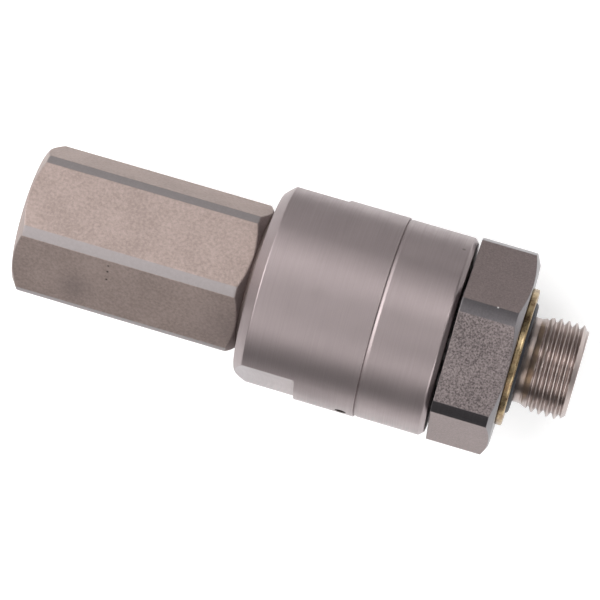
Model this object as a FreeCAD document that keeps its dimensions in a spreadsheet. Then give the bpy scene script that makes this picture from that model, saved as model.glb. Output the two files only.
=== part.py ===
"""Hydraulic swivel joint, in line, G 3/8 female to G 3/8 male.

A long female hexagon is screwed into the left end of a round housing. The housing holds two thrust ball
bearings back to back, and a ring nut closes its right end. The male body turns in there: its hexagon and
threaded stud stand out on the right, its journal carries a collar between the two bearings, and its hollow
nose runs through the rotary seal inside the female hexagon.

Millimetres. +X is the swivel axis and points the way the stud does, +Z is up, and the origin is the
middle of the joint's length, on the axis. Two flats of the male hexagon lie level.
"""

import FreeCAD, Part

import math
import os

import Sketcher

Vector = FreeCAD.Vector
Rotation = FreeCAD.Rotation

# Driving dimensions: name, value in millimetres, degrees or a count, and what it measures
DIMENSIONS = (
    ("stud_radius", 8.331, "G 3/8 thread, over its crests"),
    ("thread_depth", 0.856, "G 3/8 thread, crest to root"),
    ("stud_length", 11.0, "seat to the end of the stud"),
    ("stud_chamfer", 1.05, "lead at the end of the stud"),
    ("neck_cut", 0.95, "thread's crest to the neck behind it"),
    ("neck_length", 3.8, "seat to the first thread"),
    ("flow_radius", 4.0, "oil way through both halves"),
    ("flow_countersink", 0.6, "break at each end of the male body's oil way"),
    ("male_hex_width", 32.0, "male hexagon across flats"),
    ("male_hex_length", 10.5, "male hexagon along the axis"),
    ("male_corner_cut", 0.675, "turned off the corners of the male hexagon"),
    ("male_face_inset", 0.15, "flats to the rim of the male hexagon's end face"),
    ("male_chamfer_length", 0.95, "corner chamfer of the male hexagon"),
    ("journal_radius", 7.5, "journal that carries the bearings"),
    ("journal_chamfer", 0.5, "lead from the nose to the journal"),
    ("neck_journal_step", 1.0, "bearing journal to the one under the wiper and the bush"),
    ("neck_journal_length", 4.6, "hexagon to the bearing journal"),
    ("nose_step", 0.5, "bearing journal to the hardened nose in the seal"),
    ("nose_chamfer", 0.8, "lead that opens the seal when it is fitted"),
    ("nose_play", 0.9, "nose end to the end of the seal chamber"),
    ("running_gap", 0.5, "male hexagon to the ring nut"),
    ("ring_step", 0.19, "ring nut's surface below the housing's"),
    ("ring_length", 12.2, "ring nut outside the housing"),
    ("ring_wall", 4.4, "end wall of the ring nut"),
    ("ring_chamfer", 0.75, "front edge of the ring nut"),
    ("ring_bore_play", 0.3, "end wall's hole to the male journal"),
    ("skirt_wall", 1.35, "threaded skirt of the ring nut, bearing bore to crests"),
    ("skirt_length", 6.4, "skirt inside the housing"),
    ("skirt_chamfer", 0.5, "lead of the skirt"),
    ("socket_wall", 2.08, "housing's wall round the skirt"),
    ("socket_relief", 0.6, "skirt end to the bottom of its socket"),
    ("seam_chamfer", 0.3, "each side of the groove where the ring nut meets the housing"),
    ("housing_length", 21.55, "housing along the axis"),
    ("housing_chamfer", 1.85, "rear edge of the housing"),
    ("wrench_depth", 1.5, "two wrench flats, below the housing's surface"),
    ("wrench_length", 10.85, "two wrench flats, along the axis"),
    ("housing_turn", 67.1, "turn of the housing about the axis"),
    ("coupling_gap", 0.95, "female hexagon to the housing"),
    ("female_hex_width", 24.0, "female hexagon across flats"),
    ("female_hex_length", 39.6, "female hexagon along the axis"),
    ("female_corner_cut", 0.506, "turned off the corners of the female hexagon"),
    ("female_face_inset", 0.25, "flats to the rims of the female hexagon's end faces"),
    ("female_chamfer_length", 1.2, "corner chamfers of the female hexagon"),
    ("female_turn", 31.3, "turn of the female hexagon about the axis"),
    ("spigot_wall", 2.75, "threaded spigot of the female body, chamber to crests"),
    ("spigot_end_play", 0.2, "spigot's end to the housing's inner wall"),
    ("spigot_chamfer", 0.5, "lead of the spigot"),
    ("boss_step", 0.8, "spigot to the boss that seats on the housing"),
    ("port_depth", 14.0, "female port"),
    ("port_sink", 1.425, "countersink of the female port"),
    ("chamber_play", 0.25, "nose to the wall of the seal chamber"),
    ("chamber_depth", 20.2, "seal chamber, from the end of the spigot"),
    ("thread_play", 0.02, "radial play between screwed pieces"),
    ("running_play", 0.03, "radial play of bushes and seals on the turning journal"),
    ("seat_play", 0.02, "radial play between a piece and the seat that it stays in"),
    ("bearing_radius", 14.0, "thrust bearing, outside"),
    ("bearing_height", 9.0, "one thrust bearing along the axis"),
    ("bearing_seat_play", 0.05, "radial play of the bearing in its bore"),
    ("race_play", 0.5, "housing washer to the journal"),
    ("race_inset", 0.35, "shaft washer's rim to the housing washer's"),
    ("race_chamfer", 0.4, "rims of the bearing washers"),
    ("race_land", 0.869, "bearing's rim to its balls, inside and outside"),
    ("ball_play", 0.02, "ball to the bottom of its raceway"),
    ("raceway_relief", 0.119, "section of the raceways, wider than the balls"),
    ("raceway_depth", 0.681, "raceway below the face of a bearing washer"),
    ("cage_thickness", 2.4, "ball cage along the axis"),
    ("cage_play", 0.35, "ball cage to the journal inside it and the bore outside it"),
    ("pocket_play", 0.07, "ball to its pocket in the cage"),
    ("pocket_web", 0.55, "least metal of the cage between two pockets"),
    ("shim_thickness", 0.5, "preload shim behind the rear bearing"),
    ("shim_play", 0.4, "preload shim to the spigot"),
    ("collar_width", 4.0, "thrust collar along the axis"),
    ("collar_wall", 5.0, "thrust collar, journal to rim"),
    ("collar_chamfer", 0.4, "edges of the thrust collar"),
    ("collar_slot_width", 3.0, "spanner slots of the thrust collar"),
    ("collar_slot_depth", 1.3, "spanner slots of the thrust collar"),
    ("collar_slot_count", 4, "spanner slots of the thrust collar"),
    ("set_screw_radius", 1.25, "screw that locks the collar"),
    ("set_screw_inset", 0.3, "set screw below the rim of the collar"),
    ("lock_pin_radius", 0.9, "pin that locks the ring nut"),
    ("lock_pin_setback", 2.15, "pin's axis to the seam"),
    ("lock_pin_inset", 0.5, "pin below the housing's surface"),
    ("lock_pin_bite", 0.7, "depth of the pin in the skirt"),
    ("bush_thickness", 1.1, "bronze bush in the ring nut"),
    ("bush_width", 1.7, "bronze bush in the ring nut"),
    ("wiper_thickness", 2.7, "dust wiper in the ring nut"),
    ("wiper_width", 2.0, "dust wiper in the ring nut"),
    ("wiper_inset", 0.15, "dust wiper below the ring nut's end face"),
    ("wiper_lip", 0.7, "width of the wiper's lip"),
    ("guide_thickness", 1.2, "guide rings in the seal chamber"),
    ("guide_width", 3.0, "guide rings in the seal chamber"),
    ("front_guide_depth", 2.8, "spigot's end to the front guide ring"),
    ("seal_depth", 8.8, "spigot's end to the seal's groove"),
    ("rear_guide_depth", 15.3, "spigot's end to the rear guide ring"),
    ("backup_width", 1.2, "backup ring beside the rotary seal"),
    ("slipper_width", 3.0, "slipper ring of the rotary seal"),
    ("slipper_thickness", 1.1, "slipper ring of the rotary seal"),
    ("energiser_radius", 0.8, "section of the seal's O-ring"),
    ("seal_side_play", 0.1, "along the axis, in the seal's groove"),
    ("spigot_ring_radius", 0.7, "section of the spigot's O-ring"),
    ("spigot_groove_width", 1.8, "groove of the spigot's O-ring"),
    ("spigot_groove_setback", 0.8, "spigot's end to its O-ring groove"),
    ("metal_thickness", 1.15, "metal of the sealing washer along the axis"),
    ("metal_width", 2.2, "metal of the sealing washer, inside to outside"),
    ("lip_width", 1.34, "rubber of the sealing washer, inside to outside"),
    ("lip_play", 0.029, "rubber of the sealing washer to the thread's crests"),
    ("lip_height", 0.55, "rubber above the metal, on the port's side"),
)

# Places along the axis, worked out from the dimensions, from the stud's seat at 0 leftwards
STATIONS = (
    ("hex_left", "-Dims.male_hex_length"),
    ("ring_right", "Stations.hex_left - Dims.running_gap"),
    ("seam", "Stations.ring_right - Dims.ring_length"),
    ("front_back", "Stations.ring_right - Dims.ring_wall"),
    ("front_balls", "Stations.front_back - Dims.bearing_height / 2"),
    ("collar_right", "Stations.front_back - Dims.bearing_height"),
    ("collar_left", "Stations.collar_right - Dims.collar_width"),
    ("rear_balls", "Stations.collar_left - Dims.bearing_height / 2"),
    ("rear_back", "Stations.collar_left - Dims.bearing_height"),
    ("inner_wall", "Stations.rear_back - Dims.shim_thickness"),
    ("housing_left", "Stations.seam - Dims.housing_length"),
    ("female_right", "Stations.housing_left - Dims.coupling_gap"),
    ("female_left", "Stations.female_right - Dims.female_hex_length"),
    ("spigot_end", "Stations.inner_wall - Dims.spigot_end_play"),
    ("chamber_end", "Stations.spigot_end - Dims.chamber_depth"),
    ("nose_end", "Stations.chamber_end + Dims.nose_play"),
    ("middle", "(Dims.stud_length + Stations.female_left) / 2"),
)

# Radii about the axis, worked out from the dimensions
RADII = (
    ("neck", "Dims.stud_radius - Dims.neck_cut"),
    ("port", "Dims.stud_radius - Dims.thread_depth"),
    ("port_mouth", "Radii.port + Dims.port_sink"),
    ("male_corner", "Dims.male_hex_width / sqrt(3) - Dims.male_corner_cut"),
    ("male_face", "Dims.male_hex_width / 2 - Dims.male_face_inset"),
    ("female_corner", "Dims.female_hex_width / sqrt(3) - Dims.female_corner_cut"),
    ("female_face", "Dims.female_hex_width / 2 - Dims.female_face_inset"),
    ("neck_journal", "Dims.journal_radius + Dims.neck_journal_step"),
    ("neck_running", "Radii.neck_journal + Dims.running_play"),
    ("bush_seat", "Radii.neck_running + Dims.bush_thickness"),
    ("wiper_seat", "Radii.neck_running + Dims.wiper_thickness"),
    ("nose", "Dims.journal_radius - Dims.nose_step"),
    ("nose_running", "Radii.nose + Dims.running_play"),
    ("guide_seat", "Radii.nose_running + Dims.guide_thickness"),
    ("slipper", "Radii.nose_running + Dims.slipper_thickness"),
    ("seal_seat", "Radii.slipper + 2 * Dims.energiser_radius"),
    ("chamber", "Radii.nose + Dims.chamber_play"),
    ("spigot", "Radii.chamber + Dims.spigot_wall"),
    ("spigot_hole", "Radii.spigot + Dims.thread_play"),
    ("boss", "Radii.spigot + Dims.boss_step"),
    ("bearing_bore", "Dims.bearing_radius + Dims.bearing_seat_play"),
    ("pitch", "(Dims.journal_radius + Dims.bearing_radius) / 2"),
    ("ball", "(Dims.bearing_radius - Dims.journal_radius) / 2 - Dims.race_land"),
    ("raceway", "Radii.ball + Dims.raceway_relief"),
    ("skirt", "Radii.bearing_bore + Dims.skirt_wall"),
    ("socket", "Radii.skirt + Dims.thread_play"),
    ("housing", "Radii.socket + Dims.socket_wall"),
    ("ring", "Radii.housing - Dims.ring_step"),
    ("collar_hole", "Dims.journal_radius + Dims.thread_play"),
    ("collar", "Dims.journal_radius + Dims.collar_wall"),
    ("lip", "Dims.stud_radius + Dims.lip_play"),
    ("metal", "Radii.lip + Dims.lip_width"),
)

# Balls that fit round the pitch circle, with the cage's web between their pockets
BALL_COUNT = ("floor(180 deg / asin((Radii.ball + Dims.pocket_play + Dims.pocket_web / 2)"
              " / Radii.pitch))")

doc = FreeCAD.newDocument("SwivelJoint")
sheet = doc.addObject("Spreadsheet::Sheet", "Dims")
for row, (alias, size, meaning) in enumerate(DIMENSIONS, start=1):
    sheet.set(f"A{row}", meaning)
    sheet.set(f"B{row}", str(size))
    sheet.setAlias(f"B{row}", alias)
doc.recompute()

for group, rows in (("Stations", STATIONS), ("Radii", RADII)):
    derived = doc.addObject("App::VarSet", group)
    for name, formula in rows:
        derived.addProperty("App::PropertyFloat", name)
        derived.setExpression(name, formula)
doc.recompute()


def value(formula):
    """The number that a formula of the dimensions gives now."""
    return float(sheet.evalExpression(str(formula)))


def new_body(label, place, turn="0", axis=Vector(1, 0, 0)):
    """A body whose own origin is at one station of the axis, turned by an angle about its own origin."""
    body = doc.addObject("PartDesign::Body", label)
    body.Label = label
    body.Placement = FreeCAD.Placement(Vector(), Rotation(axis, 1))
    body.setExpression("Placement.Base.x", f"{place} - Stations.middle")
    body.setExpression("Placement.Rotation.Angle", turn)
    return body


def facing_left(label, place):
    """A body turned round, so that its own +X points left."""
    return new_body(label, place, "180", Vector(0, 0, 1))


def origin_part(body, role):
    return next(item for item in body.Origin.OriginFeatures if item.Role == role)


def new_sketch(body, name, role="XY_Plane"):
    sketch = body.newObject("Sketcher::SketchObject", name)
    sketch.AttachmentSupport = (origin_part(body, role), [""])
    sketch.MapMode = "FlatFace"
    return sketch


def hold(sketch, element, point, across, up):
    """Ties one point of a sketch to its two distances from the origin."""
    for kind, axis, formula in (("DistanceX", -2, across), ("DistanceY", -1, up)):
        if formula == 0:
            sketch.addConstraint(Sketcher.Constraint("PointOnObject", element, point, axis))
        else:
            row = sketch.addConstraint(Sketcher.Constraint(kind, -1, 1, element, point, value(formula)))
            sketch.setExpression(f"Constraints[{row}]", str(formula))


def outline(sketch, corners):
    """Closed polygon with each corner tied to the dimensions."""
    spots = [Vector(value(across), value(up), 0) for across, up in corners]
    count = len(spots)
    first = sketch.addGeometry([Part.LineSegment(spots[i], spots[(i + 1) % count]) for i in range(count)])[0]
    for i, (across, up) in enumerate(corners):
        sketch.addConstraint(Sketcher.Constraint("Coincident", first + i, 2, first + (i + 1) % count, 1))
        hold(sketch, first + i, 1, across, up)


def circle(sketch, across, up, radius):
    """Circle with its centre and radius tied to the dimensions."""
    centre = Vector(value(across), value(up), 0)
    element = sketch.addGeometry(Part.Circle(centre, Vector(0, 0, 1), value(radius)))
    if across == 0 and up == 0:
        sketch.addConstraint(Sketcher.Constraint("Coincident", element, 3, -1, 1))
    else:
        hold(sketch, element, 3, across, up)
    row = sketch.addConstraint(Sketcher.Constraint("Radius", element, value(radius)))
    sketch.setExpression(f"Constraints[{row}]", str(radius))
    return element


def spin(body, sketch, name, kind="PartDesign::Revolution"):
    """Full turn of a sketch about the body's X axis."""
    feature = body.newObject(kind, name)
    feature.Profile = sketch
    feature.ReferenceAxis = (sketch, ["H_Axis"])
    feature.Angle = 360
    sketch.Visibility = False
    return feature


def turned(body, name, corners):
    """Turned shape: an outline of (distance along, radius) corners, spun about the X axis."""
    sketch = new_sketch(body, name + "_profile")
    outline(sketch, corners)
    return spin(body, sketch, name)


def bored(body, name, corners):
    """Turned recess: what the outline spins out is cut away."""
    sketch = new_sketch(body, name + "_profile")
    outline(sketch, corners)
    return spin(body, sketch, name, "PartDesign::Groove")


def extruded(body, sketch, name, length, kind, backwards=False):
    feature = body.newObject(kind, name)
    feature.Profile = sketch
    feature.setExpression("Length", str(length))
    feature.Reversed = backwards
    sketch.Visibility = False
    return feature


def patterned(body, name, feature, count):
    """Copies of a feature, evenly spaced about the X axis."""
    ring = body.newObject("PartDesign::PolarPattern", name)
    ring.Originals = [feature]
    ring.Axis = (origin_part(body, "X_Axis"), [""])
    ring.Angle = 360
    ring.setExpression("Occurrences", str(count))
    body.Tip = ring
    return ring


def hexagon(sketch, width):
    """Regular hexagon about the origin, one corner on the sketch's horizontal axis."""
    radius = value(f"{width} / sqrt(3)")
    turns = [math.radians(60 * i) for i in range(6)]
    spots = [Vector(radius * math.cos(turn), radius * math.sin(turn), 0) for turn in turns]
    first = sketch.addGeometry([Part.LineSegment(spots[i], spots[(i + 1) % 6]) for i in range(6)])[0]
    rim = circle(sketch, 0, 0, f"{width} / sqrt(3)")
    sketch.toggleConstruction(rim)
    sketch.addConstraint(Sketcher.Constraint("PointOnObject", first, 1, -1))
    for i in range(6):
        sketch.addConstraint(Sketcher.Constraint("Coincident", first + i, 2, first + (i + 1) % 6, 1))
        sketch.addConstraint(Sketcher.Constraint("PointOnObject", first + i, 1, rim))
        if i:
            sketch.addConstraint(Sketcher.Constraint("Equal", first, first + i))


def milled_hexagon(body, name, width, left, length):
    """Cuts the turned bar away outside a hexagon, for a length that starts at one place along the body."""
    sketch = new_sketch(body, name + "_profile", "YZ_Plane")
    sketch.AttachmentOffset = FreeCAD.Placement(Vector(0, 0, 1), Rotation())
    sketch.setExpression("AttachmentOffset.Base.z", left)
    hexagon(sketch, width)
    circle(sketch, 0, 0, f"{width} / sqrt(3) + 1")
    return extruded(body, sketch, name, length, "PartDesign::Pocket", backwards=True)


def cord_ring(label, place, radius, cord):
    """O-ring: a round cord of one section radius, whose centre runs at another."""
    body = new_body(label, place)
    sketch = new_sketch(body, label + "_profile")
    circle(sketch, 0, radius, cord)
    spin(body, sketch, label + "_turn")
    return body


def flat_ring(label, place, inner, outer, width):
    """Plain ring of square section."""
    body = new_body(label, place)
    turned(body, label + "_turn", ((0, inner), (width, inner), (width, outer), (0, outer)))
    return body


def female_body():
    """Long hexagon: port on the left, seal chamber on the right, inside the threaded spigot."""
    body = new_body("female_body", "Stations.female_left", "Dims.female_turn")
    length = "Dims.female_hex_length"
    chamfer = "Dims.female_chamfer_length"
    boss_end = "(Stations.housing_left - Stations.female_left)"
    end = "(Stations.spigot_end - Stations.female_left)"
    corner = "Radii.female_corner"
    face = "Radii.female_face"
    turned(body, "female_bar", (
        (0, 0), (0, face), (chamfer, corner), (f"{length} - {chamfer}", corner), (length, face),
        (length, "Radii.boss"), (boss_end, "Radii.boss"), (boss_end, "Radii.spigot"),
        (f"{end} - Dims.spigot_chamfer", "Radii.spigot"),
        (end, "Radii.spigot - Dims.spigot_chamfer"), (end, 0)))
    milled_hexagon(body, "female_hexagon", "Dims.female_hex_width", "0", length)
    mouth = "Dims.port_sink"
    chamber = "(Stations.chamber_end - Stations.female_left)"
    bored(body, "female_bore", (
        (0, 0), (0, "Radii.port_mouth"), (mouth, "Radii.port"), ("Dims.port_depth", "Radii.port"),
        ("Dims.port_depth + (Radii.port - Dims.flow_radius) / 2", "Dims.flow_radius"),
        (chamber, "Dims.flow_radius"), (chamber, "Radii.chamber"), (end, "Radii.chamber"), (end, 0)))
    seal_width = "(Dims.backup_width + Dims.slipper_width + Dims.seal_side_play)"
    for name, depth, width, outer in (
        ("front_guide_groove", "Dims.front_guide_depth", "Dims.guide_width", "Radii.guide_seat"),
        ("seal_groove", "Dims.seal_depth", seal_width, "Radii.seal_seat"),
        ("rear_guide_groove", "Dims.rear_guide_depth", "Dims.guide_width", "Radii.guide_seat"),
    ):
        left = f"{end} - {depth} - {width}"
        right = f"{end} - {depth}"
        inner = "Radii.nose"
        bored(body, name, ((left, inner), (right, inner), (right, outer), (left, outer)))
    right = f"{end} - Dims.spigot_groove_setback"
    left = f"{right} - Dims.spigot_groove_width"
    floor = "Radii.spigot_hole - 2 * Dims.spigot_ring_radius"
    over = "Radii.spigot + 1"
    bored(body, "spigot_ring_groove", ((left, floor), (right, floor), (right, over), (left, over)))
    return body


def housing():
    """Round housing with a screwed socket at each end, two wrench flats and the hole of the lock pin."""
    body = new_body("housing", "Stations.housing_left", "Dims.housing_turn")
    length = "Dims.housing_length"
    wall = "(Stations.inner_wall - Stations.housing_left)"
    socket = f"{length} - Dims.skirt_length - Dims.socket_relief"
    chamfer = "Dims.housing_chamfer"
    outside = "Radii.housing"
    hole = "Radii.spigot_hole"
    thread = "Radii.socket"
    turned(body, "housing_turning", (
        (0, hole), (0, f"{outside} - {chamfer}"), (chamfer, outside),
        (f"{length} - Dims.seam_chamfer", outside), (length, f"{outside} - Dims.seam_chamfer"),
        (length, thread), (socket, thread),
        (socket, "Radii.bearing_bore"), (wall, "Radii.bearing_bore"), (wall, hole)))
    flat = new_sketch(body, "wrench_flat_profile", "YZ_Plane")
    floor = f"{outside} - Dims.wrench_depth"
    over = f"{outside} + 1"
    outline(flat, ((f"-({over})", floor), (over, floor), (over, over), (f"-({over})", over)))
    cut = extruded(body, flat, "wrench_flat", "Dims.wrench_length", "PartDesign::Pocket", backwards=True)
    patterned(body, "wrench_flats", cut, 2)
    pin = new_sketch(body, "pin_hole_profile")
    circle(pin, f"{length} - Dims.lock_pin_setback", 0, "Dims.lock_pin_radius + Dims.seat_play")
    extruded(body, pin, "pin_hole", over, "PartDesign::Pocket", backwards=True)
    return body


def ring_nut():
    """Ring nut: end wall with the seats of bush and wiper, and a skirt round the front bearing."""
    body = new_body("ring_nut", "Stations.seam - Dims.skirt_length", "Dims.housing_turn")
    skirt = "Dims.skirt_length"
    end = f"({skirt} + Dims.ring_length)"
    wall = f"({end} - Dims.ring_wall)"
    recess = f"({end} - Dims.wiper_width - Dims.wiper_inset)"
    outside = "Radii.ring"
    thread = "Radii.skirt"
    hole = "Radii.neck_journal + Dims.ring_bore_play"
    bush = "Radii.bush_seat"
    turned(body, "ring_turning", (
        (0, "Radii.bearing_bore"), (0, f"{thread} - Dims.skirt_chamfer"), ("Dims.skirt_chamfer", thread),
        (skirt, thread), (skirt, f"{outside} - Dims.seam_chamfer"), (f"{skirt} + Dims.seam_chamfer", outside),
        (f"{end} - Dims.ring_chamfer", outside), (end, f"{outside} - Dims.ring_chamfer"),
        (end, "Radii.wiper_seat"), (recess, "Radii.wiper_seat"), (recess, hole),
        (f"{wall} + Dims.bush_width", hole), (f"{wall} + Dims.bush_width", bush), (wall, bush),
        (wall, "Radii.bearing_bore")))
    pin = new_sketch(body, "pin_seat_profile")
    pin.AttachmentOffset = FreeCAD.Placement(Vector(0, 0, 1), Rotation())
    pin.setExpression("AttachmentOffset.Base.z", f"{thread} - Dims.lock_pin_bite")
    circle(pin, f"{skirt} - Dims.lock_pin_setback", 0, "Dims.lock_pin_radius + Dims.seat_play")
    extruded(body, pin, "pin_seat", "Dims.lock_pin_bite + 1", "PartDesign::Pocket", backwards=True)
    return body


def radial_pin(label, place, turn, start, end, radius):
    """Round pin that points away from the axis, between two radii."""
    body = new_body(label, place, turn)
    sketch = new_sketch(body, label + "_profile")
    sketch.AttachmentOffset = FreeCAD.Placement(Vector(0, 0, 1), Rotation())
    sketch.setExpression("AttachmentOffset.Base.z", str(start))
    circle(sketch, 0, 0, radius)
    extruded(body, sketch, label + "_pad", f"{end} - ({start})", "PartDesign::Pad")
    return body


def male_body():
    """Male half in one piece: nose, journals, hexagon, neck and stud, with the oil way through it."""
    body = new_body("male_body", "Stations.nose_end")
    start = "Stations.nose_end"
    root = f"(Stations.rear_back + Dims.journal_chamfer - {start})"
    step = f"(Stations.hex_left - Dims.neck_journal_length - {start})"
    left = f"(Stations.hex_left - {start})"
    seat = f"(-{start})"
    end = f"(Dims.stud_length - {start})"
    corner = "Radii.male_corner"
    nose = "Radii.nose"
    journal = "Dims.journal_radius"
    flow = "Dims.flow_radius"
    sink = "Dims.flow_countersink"
    stud = "Dims.stud_radius"
    turned(body, "male_turning", (
        (0, f"{flow} + {sink}"), (0, f"{nose} - Dims.nose_chamfer"), ("Dims.nose_chamfer", nose),
        (root, nose), (f"{root} + {journal} - {nose}", journal), (step, journal),
        (step, "Radii.neck_journal"), (left, "Radii.neck_journal"), (left, corner),
        (f"{seat} - Dims.male_chamfer_length", corner), (seat, "Radii.male_face"),
        (seat, "Radii.neck"), (f"{seat} + Dims.neck_length - ({stud} - Radii.neck)", "Radii.neck"),
        (f"{seat} + Dims.neck_length", stud), (f"{end} - Dims.stud_chamfer", stud),
        (end, f"{stud} - Dims.stud_chamfer"), (end, f"{flow} + {sink}"), (f"{end} - {sink}", flow),
        (sink, flow)))
    milled_hexagon(body, "male_hexagon", "Dims.male_hex_width", left, "Dims.male_hex_length")
    return body


def bearing_washer(body, inner, outer):
    """Thrust bearing washer with its back face at the body's origin and a raceway in its front face."""
    thick = "(Dims.bearing_height / 2 - Radii.ball + Dims.raceway_depth)"
    chamfer = "Dims.race_chamfer"
    name = body.Label
    turned(body, name + "_turn", (
        (0, inner), (0, f"{outer} - {chamfer}"), (chamfer, outer), (f"{thick} - {chamfer}", outer),
        (thick, f"{outer} - {chamfer}"), (thick, inner)))
    raceway = new_sketch(body, name + "_raceway_profile")
    circle(raceway, "Dims.bearing_height / 2 + Dims.raceway_relief - Dims.ball_play", "Radii.pitch",
           "Radii.raceway")
    spin(body, raceway, name + "_raceway", "PartDesign::Groove")
    return body


def cage(label, place):
    """Flat ball cage with round pockets."""
    body = new_body(label, place)
    half = "Dims.cage_thickness / 2"
    inner = "Dims.journal_radius + Dims.cage_play"
    outer = "Radii.bearing_bore - Dims.cage_play"
    turned(body, label + "_turn", ((f"-{half}", inner), (half, inner), (half, outer), (f"-{half}", outer)))
    pocket = new_sketch(body, label + "_pocket_profile", "YZ_Plane")
    pocket.AttachmentOffset = FreeCAD.Placement(Vector(0, 0, -1), Rotation())
    pocket.setExpression("AttachmentOffset.Base.z", "-Dims.cage_thickness")
    circle(pocket, 0, "Radii.pitch", "Radii.ball + Dims.pocket_play")
    through = "2 * Dims.cage_thickness"
    cut = extruded(body, pocket, label + "_pocket", through, "PartDesign::Pocket", backwards=True)
    patterned(body, label + "_pockets", cut, BALL_COUNT)
    return body


def balls(label, place):
    """Balls of one bearing, the first one in line with the first pocket."""
    body = new_body(label, place)
    body.AllowCompound = True
    ball = body.newObject("PartDesign::AdditiveSphere", label + "_ball")
    ball.setExpression("Radius", "Radii.ball")
    ball.setExpression("Placement.Base.z", "Radii.pitch")
    patterned(body, label + "_ring", ball, BALL_COUNT)
    return body


def thrust_collar():
    """Slotted nut on the journal between the two bearings, with the hole of its set screw."""
    body = new_body("thrust_collar", "Stations.collar_left")
    width = "Dims.collar_width"
    chamfer = "Dims.collar_chamfer"
    outside = "Radii.collar"
    hole = "Radii.collar_hole"
    turned(body, "collar_turning", (
        (0, hole), (0, f"{outside} - {chamfer}"), (chamfer, outside), (f"{width} - {chamfer}", outside),
        (width, f"{outside} - {chamfer}"), (width, hole)))
    slot = new_sketch(body, "spanner_slot_profile", "YZ_Plane")
    slot.AttachmentOffset = FreeCAD.Placement(Vector(), Rotation(Vector(0, 0, 1), 1))
    slot.setExpression("AttachmentOffset.Rotation.Angle", "180 / Dims.collar_slot_count")
    half = "Dims.collar_slot_width / 2"
    floor = f"{outside} - Dims.collar_slot_depth"
    over = f"{outside} + 1"
    outline(slot, ((floor, f"-{half}"), (over, f"-{half}"), (over, half), (floor, half)))
    cut = extruded(body, slot, "spanner_slot", width, "PartDesign::Pocket", backwards=True)
    patterned(body, "spanner_slots", cut, "Dims.collar_slot_count")
    screw = new_sketch(body, "set_screw_hole_profile")
    circle(screw, f"{width} / 2", 0, "Dims.set_screw_radius + Dims.seat_play")
    extruded(body, screw, "set_screw_hole", over, "PartDesign::Pocket", backwards=True)
    return body


def dust_wiper():
    """Rubber wiper: a square heel in the ring nut and a lip that narrows towards the journal."""
    body = new_body("dust_wiper", "Stations.ring_right - Dims.wiper_inset - Dims.wiper_width")
    lip = "Radii.neck_running"
    rim = "Radii.wiper_seat - Dims.seat_play"
    heel = f"{rim} - Dims.wiper_thickness / 2"
    width = "Dims.wiper_width"
    turned(body, "wiper_turning", (
        (0, heel), (0, rim), (width, rim), (width, lip),
        (f"{width} - Dims.wiper_lip", lip)))
    return body


def sealing_washer():
    """Bonded washer on the stud: a metal ring, and rubber inside it that stands proud towards the port."""
    metal = new_body("sealing_washer", "0")
    edge = "Dims.lip_height / 2"
    thick = "Dims.metal_thickness"
    inner = "Radii.metal"
    outer = "Radii.metal + Dims.metal_width"
    turned(metal, "washer_turning", (
        (0, inner), (0, outer), (f"{thick} - {edge}", outer), (thick, f"{outer} - {edge}"), (thick, inner)))
    rubber = new_body("sealing_lip", "0")
    turned(rubber, "lip_turning", (
        (0, "Radii.lip"), (0, inner), (thick, inner),
        (f"{thick} + Dims.lip_height", f"{inner} - Dims.lip_width / 2"),
        (f"{thick} + Dims.lip_height / 2", "Radii.lip")))
    return metal, rubber


def seal_stack():
    """Rings in the female body's seal chamber, from the spigot's end inwards."""
    running = "Radii.nose_running"
    guide_rim = "Radii.guide_seat - Dims.seat_play"
    backup_rim = "Radii.seal_seat - Dims.seat_play"
    made = []
    for side in ("front", "rear"):
        left = f"Stations.spigot_end - Dims.{side}_guide_depth - Dims.guide_width"
        made.append(flat_ring(f"{side}_guide_ring", left, running, guide_rim, "Dims.guide_width"))
    left = "Stations.spigot_end - Dims.seal_depth - Dims.backup_width"
    made.append(flat_ring("seal_backup_ring", left, running, backup_rim, "Dims.backup_width"))
    left = f"{left} - Dims.seal_side_play / 2 - Dims.slipper_width"
    made.append(flat_ring("rotary_seal", left, running, "Radii.slipper", "Dims.slipper_width"))
    made.append(cord_ring("seal_energiser", f"{left} + Dims.slipper_width / 2",
                          "Radii.slipper + Dims.energiser_radius", "Dims.energiser_radius"))
    return made


def bearings():
    """Two thrust ball bearings, back to back on the collar."""
    on_shaft = ("Dims.journal_radius + Dims.seat_play", "Dims.bearing_radius - Dims.race_inset")
    in_housing = ("Dims.journal_radius + Dims.race_play", "Dims.bearing_radius")
    made = [
        bearing_washer(facing_left("front_housing_washer", "Stations.front_back"), *in_housing),
        bearing_washer(new_body("front_shaft_washer", "Stations.collar_right"), *on_shaft),
        bearing_washer(facing_left("rear_shaft_washer", "Stations.collar_left"), *on_shaft),
        bearing_washer(new_body("rear_housing_washer", "Stations.rear_back"), *in_housing),
    ]
    for side in ("front", "rear"):
        made.append(cage(f"{side}_cage", f"Stations.{side}_balls"))
        made.append(balls(f"{side}_balls", f"Stations.{side}_balls"))
    shim_hole = "Radii.spigot + Dims.shim_play"
    made.append(flat_ring("preload_shim", "Stations.inner_wall", shim_hole, "Dims.bearing_radius",
                          "Dims.shim_thickness"))
    return made


def spigot_o_ring():
    """Keeps the bearings' grease in where the female body is screwed into the housing."""
    place = "Stations.spigot_end - Dims.spigot_groove_setback - Dims.spigot_groove_width / 2"
    radius = "Radii.spigot_hole - Dims.spigot_ring_radius"
    return cord_ring("spigot_o_ring", place, radius, "Dims.spigot_ring_radius")


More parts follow.
